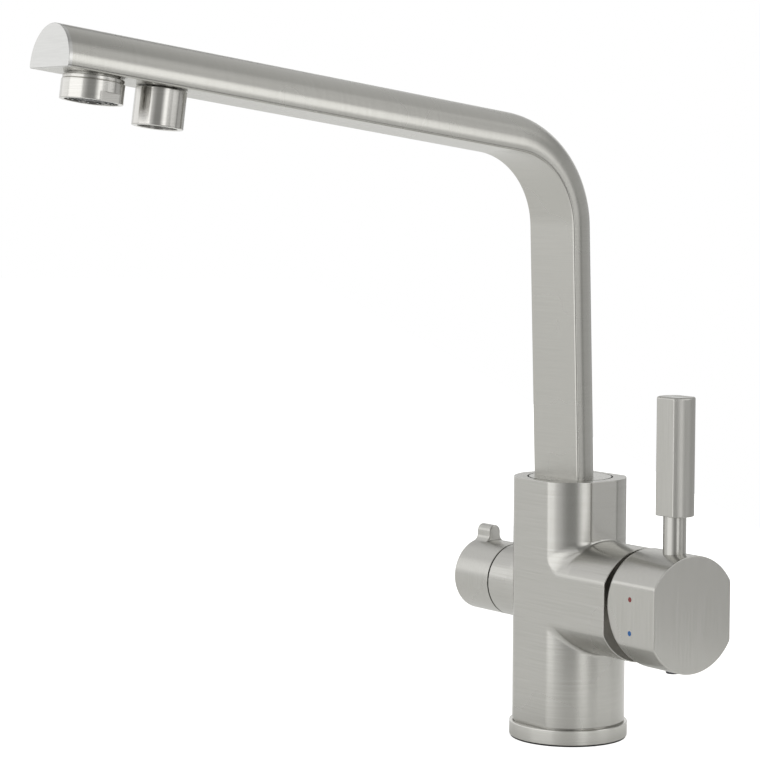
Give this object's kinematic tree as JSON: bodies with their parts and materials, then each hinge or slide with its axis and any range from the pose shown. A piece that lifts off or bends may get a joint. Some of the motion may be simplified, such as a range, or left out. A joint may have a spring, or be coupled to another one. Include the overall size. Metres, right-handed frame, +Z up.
{
  "type": "drinking water filter tap",
  "caption": "Deck-mounted kitchen mixer tap with a side lever, a separate filtered-water knob, and a swivelling D-section spout that carries an aerator and a filtered-water outlet.",
  "frame": {"origin": "centre of the base underside, on the deck plane", "axes": "+Z up out of the deck, -Y along the spout at rest (towards the user), +X towards the lever, -X towards the filter knob"},
  "size_m": [0.1427, 0.286, 0.3067],
  "materials": {
    "satin_nickel": "satin, finely brushed",
    "bright_nickel": "bright",
    "brass": "turned",
    "rubber": "matt",
    "white_plastic": "moulded",
    "grey_plastic": "moulded",
    "ceramic": "lapped",
    "steel": "plain",
    "red_marker": "gloss",
    "blue_marker": "gloss"
  },
  "bodies": {
    "body": {"body_casting": "satin_nickel", "base_ring": "satin_nickel", "base_gasket": "rubber", "swivel_bush": "white_plastic", "spout_set_screw": "steel", "cartridge_seal": "rubber", "cartridge_housing": "white_plastic", "fixed_ceramic_disc": "ceramic", "cartridge_nut": "brass", "cartridge_cover": "satin_nickel", "headwork_body": "brass", "headwork_seal": "rubber", "valve_fixed_disc": "ceramic"},
    "spout": {"spout_foot": "satin_nickel", "spout_upper_oring": "rubber", "spout_lower_oring": "rubber", "filter_nipple": "brass", "filter_water_tube": "white_plastic", "spout_tube": "satin_nickel", "spout_end_plate": "bright_nickel", "aerator_boss": "satin_nickel", "aerator_housing": "bright_nickel", "aerator_washer": "rubber", "aerator_insert": "grey_plastic", "filter_outlet_boss": "brass", "filter_outlet_sleeve": "bright_nickel", "filter_outlet_insert": "grey_plastic"},
    "mixer_rotor": {"cartridge_rotor": "grey_plastic", "pivot_pin": "steel"},
    "mixer_disc": {"moving_ceramic_disc": "ceramic", "disc_carrier": "grey_plastic"},
    "lever": {"lever_spindle": "steel", "lever_knob": "satin_nickel", "lever_grub_screw": "steel", "screw_plug": "steel", "lever_stem": "bright_nickel", "lever_grip": "satin_nickel", "hot_marker": "red_marker", "cold_marker": "blue_marker"},
    "filter_handle": {"valve_turning_disc": "ceramic", "valve_spindle": "brass", "spindle_oring": "rubber", "filter_knob": "satin_nickel", "filter_grub_screw": "steel"}
  },
  "joints": [
    {"name": "spout_swivel", "type": "hinge", "parent": "body", "child": "spout", "pos_m": [0, 0, 0.1163], "axis": [0, 0, 1], "range_deg": [-80, 80]},
    {"name": "lever_turn", "type": "hinge", "parent": "body", "child": "mixer_rotor", "pos_m": [0.033, 0, 0.0652], "axis": [1, 0, 0], "range_deg": [-45, 45]},
    {"name": "lever_tilt", "type": "hinge", "parent": "mixer_rotor", "child": "lever", "pos_m": [0.033, 0, 0.0652], "axis": [0, 1, 0], "range_deg": [0, 18]},
    {"name": "disc_slide", "type": "slide", "parent": "mixer_rotor", "child": "mixer_disc", "axis": [0, 0, 1], "range_m": [0, 0.00235]},
    {"name": "filter_turn", "type": "hinge", "parent": "body", "child": "filter_handle", "pos_m": [-0.0376, 0, 0.0652], "axis": [1, 0, 0], "range_deg": [0, 90]}
  ],
  "couplings": [
    {"joint": "disc_slide", "follows": "lever_tilt", "m_per_rad": 0.007377}
  ]
}
